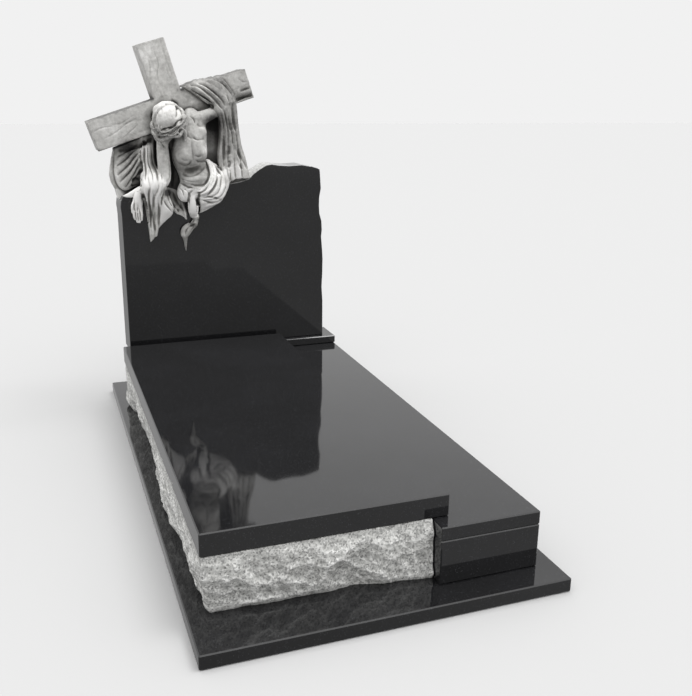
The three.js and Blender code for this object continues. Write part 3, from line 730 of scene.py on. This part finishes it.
FLESH_STROKES = [
    (6, 8, [(296, 992), (312, 980), (326, 979), (338, 986), (349, 1004)]),
    (5, 7, [(364, 1004), (378, 995), (392, 996), (408, 1006)]),
    (5, 4, [(360, 1024), (376, 1018), (392, 1024)]),
    (6, 3, [(350, 1104), (351, 1060), (355, 1020), (356, 995)]),
    (14, 9, [(290, 972), (320, 966), (350, 966), (388, 980)]),
    (6, 6, [(305, 950), (328, 945), (355, 950), (385, 962), (404, 980)]),
    (5, 4, [(336, 910), (360, 905), (388, 910)]),
    (9, -4, [(385, 1090), (388, 1050), (386, 1020)]),
    (5, 3, [(330, 1118), (336, 1100), (352, 1090), (372, 1090)]),
    (6, 4, [(372, 1148), (382, 1138), (402, 1134)]),
    (7, 14, [(320, 768), (334, 767), (348, 770)]),
    (6, 9, [(328, 744), (342, 746), (356, 748)]),
    (2.5, 6, [(334, 752), (322, 738), (312, 722), (310, 704)]),
    (2.5, 5, [(352, 748), (340, 730), (326, 708)]),
    (2.5, 6, [(117, 824), (118, 796), (120, 770)]),
    (2.5, 6, [(126, 828), (127, 796), (128, 766)]),
    (2.5, 6, [(135, 824), (136, 796), (136, 768)]),
    (3, 6, [(114, 860), (115, 836), (113, 812)]),
    (7, 5, [(128, 842), (130, 822), (127, 806)]),
    (3, 4, [(345, 1176), (362, 1162), (368, 1142)]),
    (4, 4, [(348, 1104), (372, 1084), (402, 1086)]),
    (4, 3, [(304, 1012), (322, 1002), (340, 1006)]),
    (7, 12, [(372, 880), (371, 850), (370, 820), (366, 788)]),
    (9, 12, [(268, 1010), (272, 960), (268, 900)]),
    (3, 5, [(290, 902), (306, 884), (314, 854)]),
    (3.5, 6, [(298, 918), (324, 902), (350, 894)]),
    (3, 4, [(312, 896), (328, 880), (338, 858)]),
    (3, 4, [(300, 936), (330, 922), (372, 918)]),
]


def edges_of(mesh):
    """The pairs of points that each edge joins."""
    edges = np.empty(len(mesh.edges) * 2, int)
    mesh.edges.foreach_get("vertices", edges)
    return edges.reshape(-1, 2)


def softened(values, edges, passes):
    """Each point's value moved halfway to the mean of its neighbours, the given number of times."""
    count = np.bincount(edges.ravel(), minlength=len(values))[:, None]
    one, other = edges.T
    for _ in range(passes):
        total = [np.bincount(one, column[other], len(values)) + np.bincount(other, column[one], len(values))
                 for column in values.T]
        values = 0.5 * values + 0.5 * np.stack(total, 1) / count
    return values


def pitted(points, cell, seed):
    """Smooth noise from -1 to 1: random values on a lattice of cells in millimetres, blended between."""
    rng = np.random.default_rng(seed)
    lattice = rng.uniform(-1, 1, (32, 32, 32))
    place = points / cell
    base = np.floor(place).astype(int)
    part = place - base
    part = part * part * (3 - 2 * part)
    total = np.zeros(len(points))
    for step in np.ndindex(2, 2, 2):
        weight = np.prod(np.where(step, part, 1 - part), axis=1)
        total += weight * lattice[tuple(((base + step) % 32).T)]
    return total


def as_seen(points):
    """Where points show against the headstone's front from the camera's place: the way back of seen."""
    share = (points[:, 1] - CAMERA_PLACE[1]) / (HEADSTONE_FRONT - CAMERA_PLACE[1])
    centre = np.array([CAMERA_PLACE[0], CAMERA_PLACE[2]])
    return centre + (points[:, [0, 2]] - centre) / share[:, None]


def chiselled(points, normals, strokes):
    """Points sunk along their normals: each stroke cuts a groove whose depth falls off as the
    exponential of minus the squared distance to its path over its width, and runs out at its ends."""
    steps = 80
    flat = as_seen(points)
    shift = np.zeros(len(points))
    towards = unit(np.array(CAMERA_PLACE) - points)
    shown = (normals * towards).sum(1) > 0.1
    for width, depth, path in strokes:
        line = spline(path, steps)
        close = np.all((flat > line.min(0) - 3 * width) & (flat < line.max(0) + 3 * width), axis=1)
        where = np.flatnonzero(close & shown)
        gap = np.linalg.norm(flat[where, None] - line[None], axis=-1)
        run = gap.argmin(1) / (steps - 1)
        taper = np.sin(np.pi * run) ** 0.6
        shift[where] += depth * taper * np.exp(-(gap.min(1) / width) ** 2)
    return points - normals * shift[:, None]


# Painted light and shade: the tone of each form, which also stands in for the light and shade it gets;
# painted shade on the upper faces of cross and shroud; and soft spots of painted highlight and shadow on its
# front, as seen: radius, change, x, z
# tone of each form, partly painted light and shade: lighter where a form is lit, darker where it lies in
# shade
FORM_TONES_AND_LIGHT = {
    "cross": 0.60, "fan": 0.42, "fall": 0.74, "flare": 0.84, "inner": 0.80, "right": 0.42, "flap": 1.1,
    "backing": 0.85, "body": 0.53, "loincloth": 0.90, "shin": 1.6, "feet": 0.35, "hand": 1.5,
    "skull": 0.74, "hair": 0.66, "crown": 0.42,
}
# painted shade on the upper faces of cross and right drape, darker where they face the sky
PAINTED_TOP_SHADE = {"cross": 0.5, "right": 0.3}
# soft spots of painted highlight and painted shadow, such as the shadows under the beams
LIGHT_AND_SHADE_SPOTS = [
    (44, 0.95, 200, 903), (28, 0.90, 237, 797), (34, -0.15, 182, 700), (16, -0.55, 184, 792),
    (16, -0.45, 157, 835), (14, 0.35, 180, 852), (32, -0.45, 108, 1060), (16, -0.05, 226, 1092),
    (48, 0.75, 524, 958), (60, 0.20, 195, 1400), (36, -0.25, 560, 1262), (60, -0.12, 500, 1120),
    (18, -0.25, 490, 1022), (26, 0.30, 392, 1285), (30, -0.15, 340, 1145), (14, 0.40, 460, 1200),
    (34, 0.15, 245, 1190), (36, 0.20, 450, 860), (24, 1.00, 398, 848), (42, 0.45, 318, 882),
    (24, 1.00, 322, 858), (24, -0.45, 484, 930), (17, -1.70, 247, 881), (9, 0.40, 302, 712),
    (9, 0.50, 356, 782), (28, -0.90, 440, 1148), (30, 0.25, 60, 925), (26, 0.30, 38, 965),
    (50, 0.12, 60, 1105), (14, -0.35, 214, 1122), (12, -0.30, 342, 745), (20, -0.50, 292, 818),
    (22, 0.35, 276, 872), (30, 0.45, 176, 1066), (32, 0.60, 442, 1040),
]


def tone_and_painted_light_at(points, normals, parts):
    """Each point's tone and painted light: the tone of the form it is nearest to, itself partly painted light
    and shade, less where cross or shroud faces the sky (painted shade on their upper faces), and the change
    of the soft spots of painted highlight and shadow it lies in."""
    cloud, form_tones_and_light, painted_top_shade = [], [], []
    for name, shells in parts.items():
        for shell in shells:
            thin = shell[0][::5]
            cloud.append(thin)
            form_tones_and_light.append(np.full(len(thin), FORM_TONES_AND_LIGHT[name]))
            painted_top_shade.append(np.full(len(thin), PAINTED_TOP_SHADE.get(name, 0.0)))
    cloud, form_tones_and_light, painted_top_shade = (np.concatenate(part) for part in (cloud, form_tones_and_light, painted_top_shade))
    tree = KDTree(len(cloud))
    for index, point in enumerate(cloud.tolist()):
        tree.insert(point, index)
    tree.balance()
    nearest = [tree.find(point)[1] for point in points.tolist()]
    # painted shade on upper faces of cross and shroud
    point_tone_and_light = form_tones_and_light[nearest] - painted_top_shade[nearest] * np.clip(normals[:, 2], 0, 1)
    flat = as_seen(points)
    ahead = np.clip(1 - 2 * normals[:, 1], 0, 1)
    for radius, change, x, z in LIGHT_AND_SHADE_SPOTS:
        point_tone_and_light = point_tone_and_light + change * ahead * np.exp(-((flat - (x, z)) ** 2).sum(1) / radius**2)
    return point_tone_and_light


def recessed(points, normals):
    """How far each point lies behind the forms around it, for the painted shade of deep hollows: its depth
    less the foremost depth of each cell of 6 mm, no more than 55 mm either way, averaged over a square of 13
    cells; nothing on faces turned to the back, and less about the head, where the painted shade is eased so
    that the face shows."""
    cell, reach, most = 6.0, 6, 55.0
    place = ((points[:, [0, 2]] - points[:, [0, 2]].min(0)) / cell).astype(int) + reach
    foremost = np.full(place.max(0) + reach + 1, np.inf)
    np.minimum.at(foremost, tuple(place.T), points[:, 1])
    total = np.zeros(len(points))
    for step in np.ndindex(2 * reach + 1, 2 * reach + 1):
        beside = foremost[tuple((place + np.array(step) - reach).T)]
        total += np.clip(points[:, 1] - beside, -most, most)
    eased_near_head = np.exp(-((points - seen(HEAD_MIDDLE)) ** 2).sum(1) / 105**2)
    return total / (2 * reach + 1) ** 2 * (1 - 0.6 * eased_near_head) * np.clip(1 - 2 * normals[:, 1], 0, 1)


def with_values(mesh, values, edges):
    """The mesh with each set of point values, softened, as an attribute of its own."""
    for name, value in values.items():
        layer = mesh.attributes.new(name, "FLOAT", "POINT")
        layer.data.foreach_set("value", softened(value[:, None], edges, 4).ravel())
    return mesh


TRIANGLES = 190000


def carved():
    """The whole group: flesh is fused and softened most, then joined with cloth, hair and cross and
    softened a little, chiselled and tooled; each point keeps how deep it lies, for painted shade, and its
    tone with painted light and shade."""
    fan, fall, flare, inner, right, flap = shroud()
    shin, *feet = legs()
    parts = {
        "cross": cross(), "fan": [fan], "fall": [fall], "flare": [flare], "inner": [inner], "right": [right],
        "flap": [flap], "backing": backing(), "body": body(), "loincloth": loincloth(), "shin": [shin],
        "feet": feet, "hand": hand(), "skull": [*skull(), *features()], "hair": hair(), "crown": crown(),
    }
    flesh = fused([*parts["body"], *skull()], grain=3.0, rasp=40)
    hard = [shell for name, shells in parts.items() if name not in ("body", "skull") for shell in shells]
    group = fused([shell_of(flesh), *hard, *features()], grain=2.1, rasp=4)
    points = shell_of(group)[0]
    normals = np.empty(len(group.vertices) * 3)
    group.vertices.foreach_get("normal", normals)
    edges = edges_of(group)
    normals = unit(softened(normals.reshape(-1, 3), edges, 6))
    strokes = [*BEAM_STROKES, *FAN_STROKES, *FALL_STROKES, *DRAPE_STROKES, *LOINCLOTH_STROKES, *HEAD_STROKES,
               *FLESH_STROKES]
    points = softened(chiselled(points, normals, strokes), edges, 1)
    tooled = 0.35 * pitted(points, 7.0, 1) + 0.15 * pitted(points, 3.0, 2)
    points += normals * tooled[:, None]
    group.vertices.foreach_set("co", to_frame(points).ravel())
    # how concave each point is, which the material turns into painted shade in the creases
    hollow = np.zeros(len(points))
    for passes, weight in ((6, 1.0), (30, 0.6)):
        hollow += weight * ((softened(points, edges, passes) - points) * normals).sum(1)
    recess, tone_and_painted_light = recessed(points, normals), tone_and_painted_light_at(points, normals, parts)
    group = with_values(group, {"hollow": hollow, "recess": recess, "tone_and_painted_light": tone_and_painted_light}, edges)
    return worked(group, [("DECIMATE", {"ratio": min(1.0, TRIANGLES / (2 * len(group.polygons)))})])


# Matt carved stone: a pale grey fine limestone, rasped; each form's tone stands partly for the light and
# shade it gets, and painted shade darkens its creases and deep hollows
def carved_stone():
    material, tree, shader = new_material("rasped_pale_stone")
    place = add_node(tree, "ShaderNodeTexCoord").outputs["Object"]
    hollow, recess, tone_and_painted_light = (add_node(tree, "ShaderNodeAttribute", attribute_name=name).outputs["Fac"]
                              for name in ("hollow", "recess", "tone_and_painted_light"))
    broad, fine = noise_of(tree, place, 13.0, 5.0, 0.65), noise_of(tree, place, 70.0, 6.0, 0.65)
    both = add_node(tree, "ShaderNodeMath", {0: broad, 1: fine}, operation="ADD").outputs[0]
    patchy = range_of(tree, both, 0.6, 1.4, -0.28, 0.28)
    # tone of each form with its painted light and shade, plus random patches
    level = add_node(tree, "ShaderNodeMath", {0: patchy, 1: tone_and_painted_light}, operation="ADD").outputs[0]
    stone = ramp_of(tree, level, [(0.0, "#4c4b4a"), (0.2, "#7c7b79"), (0.42, "#aaa9a6"), (0.7, "#cfcecb"),
                                  (1.0, "#fbfaf8")])
    crease, deep = range_of(tree, hollow, 0.0, 3.5), range_of(tree, recess, 8.0, 50.0)
    # painted shade: creases and fold valleys darkened
    crease_shade = ramp_of(tree, crease, [(0.0, "#ffffff"), (0.3, "#a3a2a0"), (1.0, "#4a4a49")])
    # painted shade: deep hollows behind the forms darkened
    shade = ramp_of(tree, deep, [(0.0, "#ffffff"), (0.45, "#807f7d"), (1.0, "#1e1e1e")])
    painted_shade = blend_of(tree, "MULTIPLY", stone, crease_shade)
    tree.links.new(blend_of(tree, "MULTIPLY", painted_shade, shade), shader.inputs["Base Color"])
    grit = noise_of(tree, place, 420.0, 3.0)
    bumped(tree, shader, grit, 0.3, 0.001)
    shader.inputs["Roughness"].default_value = 0.75
    return material


group = placed("carved_crucifix", carved())
group.data.name = "carved_crucifix"
group.data.materials.append(carved_stone())
group.data.shade_smooth()
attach(group, "root")
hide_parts("carved_crucifix_group")


# Rough kerbs: grey granite split off with a pitching tool. Each face runs from a wandering foot line up
# to a straight arris under the ledger; it is all shallow chips that meet in ridges, in pepper and salt.
KERB_LOW, KERB_HIGH = 40.3, 206.7
FRONT_FOOT = [
    (62, 245), (62, 164), (98, 166), (160, 162), (236, 154), (292, 163), (371, 156), (429, 165), (506, 146),
    (564, 146), (615, 131), (649.7, 127),
]
FRONT_ARRIS = [(37, 245), (37, 142), *[(x, 142) for x, _ in FRONT_FOOT[2:]]]
SIDE_FOOT = [
    (100, 1905), (92, 1775), (70, 1740), (50, 1712), (52, 1622), (66, 1590), (74, 1560), (75, 1391),
    (73, 1232), (74, 1095), (63, 951), (55, 824), (44, 704), (48, 600), (60, 506), (63, 366), (62, 245.3),
]
SIDE_ARRIS = [(37 if y < 1750 else 62, y) for _, y in SIDE_FOOT]


def struck(along, up, cell, seed):
    """Chips: one shallow bowl to each cell of a jittered lattice, the squared distance to its middle
    plus a depth of its own; the lowest bowl is the surface, so neighbours meet in sharp ridges."""
    bowls = np.random.default_rng(seed).random((64, 64, 3))
    place = np.stack([along, up], -1) / cell
    base = np.floor(place).astype(int)
    height = np.full(along.shape, 9.0)
    for step in np.ndindex(3, 3):
        here = base + np.array(step) - 1
        bowl = bowls[here[..., 0] % 64, here[..., 1] % 64]
        gap = ((place - here - bowl[..., :2]) ** 2).sum(-1)
        height = np.minimum(height, 1.2 * gap + 0.8 * bowl[..., 2])
    return height


def split_kerb(name, foot, arris, inner, seed):
    """A kerb whose face, between its foot and its arris, stands out along the plan's own normal by half a
    sine of its height and by chips of four sizes; it is closed flat above, below and at the inner line."""
    foot, arris, inner = (np.array(line, float) for line in (foot, arris, inner))
    run = np.concatenate([[0], np.cumsum(np.linalg.norm(np.diff(foot, axis=0), axis=1))])
    place = np.arange(0, run[-1], 2.6)
    foot, arris, inner = (np.stack([np.interp(place, run, line[:, axis]) for axis in (0, 1)], -1)
                          for line in (foot, arris, inner))
    ahead = unit(np.gradient(foot + arris, axis=0))
    outward = np.stack([ahead[:, 1], -ahead[:, 0]], -1)
    blur = np.ones(13) / 13
    padded = np.pad(outward, ((6, 6), (0, 0)), "edge")
    outward = unit(np.stack([np.convolve(padded[:, axis], blur, "valid") for axis in (0, 1)], -1))
    level = np.linspace(0, 1, 62)[None, :]
    up = KERB_LOW + (KERB_HIGH - KERB_LOW) * level + 0 * place[:, None]
    along = place[:, None] + 0.5 * up
    chips = (15 * struck(along, up - 0.3 * place[:, None], 78, seed) + 5 * struck(along, up, 31, seed + 1)
             + 1.3 * struck(along, up, 12, seed + 2) + 0.5 * struck(along, up, 5, seed + 3))
    fade = np.clip(4 * (1 - level), 0.2, 1) * np.clip(6 * level + 0.4, 0, 1)
    relief = fade * (chips - 4.5) + 3 * np.sin(np.pi * level)
    plan = foot[:, None] * (1 - level[..., None]) + arris[:, None] * level[..., None]
    plan = plan + outward[:, None] * relief[..., None]
    face = np.concatenate([plan, up[..., None]], -1)
    behind = [np.insert(inner, 2, z, axis=1)[:, None] for z in (KERB_HIGH, KERB_LOW)]
    skin = np.concatenate([face, *behind], axis=1)
    mesh = mesh_of([closed_rings(skin)])
    height = np.pad(relief, ((0, 0), (0, 2))).ravel()
    edges = edges_of(mesh)
    # how far each point lies in a pit, which the material darkens as painted shade
    pit = softened(height[:, None], edges, 12).ravel() - height
    return placed(name, with_values(mesh, {"pit": pit}, edges))


def split_granite():
    material, tree, shader = new_material("split_grey_granite")
    place = add_node(tree, "ShaderNodeTexCoord").outputs["Object"]
    pit = add_node(tree, "ShaderNodeAttribute", attribute_name="pit").outputs["Fac"]
    grains = add_node(tree, "ShaderNodeTexVoronoi", {"Vector": place}, in_Scale=240.0).outputs["Color"]
    salt = ramp_of(tree, grains, [(0.0, "#868685"), (0.25, "#b2b2b1"), (0.5, "#dcdcda"), (1.0, "#fcfcfa")])
    cloud = ramp_of(tree, noise_of(tree, place, 55.0, 4.0, 0.6), [(0.3, "#d8d8d7"), (0.7, "#ffffff")])
    stone = blend_of(tree, "MULTIPLY", salt, cloud)
    # painted shade: the pits between the chips are darkened
    deep = range_of(tree, pit, -1.2, 1.2)
    painted_shade = ramp_of(tree, deep, [(0.0, "#ffffff"), (0.5, "#f6f6f5"), (1.0, "#9c9c9b")])
    tree.links.new(blend_of(tree, "MULTIPLY", stone, painted_shade), shader.inputs["Base Color"])
    shader.inputs["Roughness"].default_value = 0.75
    return material


grey_granite = split_granite()
FRONT_INNER = [(max(x, 140), 245) for x, _ in FRONT_FOOT]
SIDE_INNER = [(140, y) for _, y in SIDE_FOOT]
for name, node, foot, arris, inner, seed in (
    ("split_kerb_front", "rock_kerb_front", FRONT_FOOT, FRONT_ARRIS, FRONT_INNER, 21),
    ("split_kerb_left", "rock_kerb_left", SIDE_FOOT, SIDE_ARRIS, SIDE_INNER, 34),
):
    kerb = split_kerb(name, foot, arris, inner, seed)
    kerb.data.name = name
    kerb.data.materials.append(grey_granite)
    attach(kerb, "root")
    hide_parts(node)


# Studio: a wide pale floor, an even pale sky brightest overhead, and one large soft light from high on the
# right. The floor takes shadows but is left out of reflections, where the sky's lower half stands for it.
NADIR_GLOW, GROUND_GLOW, HORIZON_GLOW, ZENITH_GLOW = 0.12, 0.42, 0.88, 2.6
FLOOR_HALF, FLOOR_DROP = 30, 0.0005
KEY_FROM, KEY_ANGLE, KEY_ENERGY = (0.38, -0.09, 0.92), 24, 1.05


def studio():
    floor = bpy.data.meshes.new("studio_floor")
    corners = [(FLOOR_HALF * x, FLOOR_HALF * y, 0) for x, y in ((-1, -1), (1, -1), (1, 1), (-1, 1))]
    floor.from_pydata(corners, [], [(0, 1, 2, 3)])
    plane = placed("studio_floor", floor)
    plane.location.z = -FLOOR_DROP
    plane.visible_diffuse = False
    plane.visible_glossy = False
    material, tree, shader = new_material("pale_floor")
    shader.inputs["Base Color"].default_value = linear("#b3b3b3")
    shader.inputs["Roughness"].default_value = 1.0
    shader.inputs["Specular IOR Level"].default_value = 0.0
    floor.materials.append(material)
    world = bpy.data.worlds.new("studio_sky")
    bpy.context.scene.world = world
    world.use_nodes = True
    tree = world.node_tree
    way = add_node(tree, "ShaderNodeTexCoord").outputs["Generated"]
    height = add_node(tree, "ShaderNodeSeparateXYZ", {"Vector": way}).outputs["Z"]
    below = add_node(tree, "ShaderNodeMapRange", {"Value": height}, in_From_Min=-0.75, in_From_Max=-0.5,
                     in_To_Min=NADIR_GLOW, in_To_Max=GROUND_GLOW)
    level = add_node(tree, "ShaderNodeMapRange", {"Value": height, "To Min": below.outputs["Result"]},
                     in_From_Min=-0.09, in_From_Max=-0.05, in_To_Max=HORIZON_GLOW)
    glow = add_node(tree, "ShaderNodeMapRange", {"Value": height, "To Min": level.outputs["Result"]},
                    in_From_Min=0.5, in_From_Max=1.0, in_To_Max=ZENITH_GLOW).outputs["Result"]
    tree.links.new(glow, tree.nodes["Background"].inputs["Color"])
    lamp = bpy.data.lights.new("soft_key", "SUN")
    lamp.angle = math.radians(KEY_ANGLE)
    lamp.energy = KEY_ENERGY
    key = placed("soft_key", lamp)
    key.rotation_euler = Vector(KEY_FROM).to_track_quat("Z", "Y").to_euler()
    bpy.context.scene.view_settings.view_transform = "Standard"


studio()
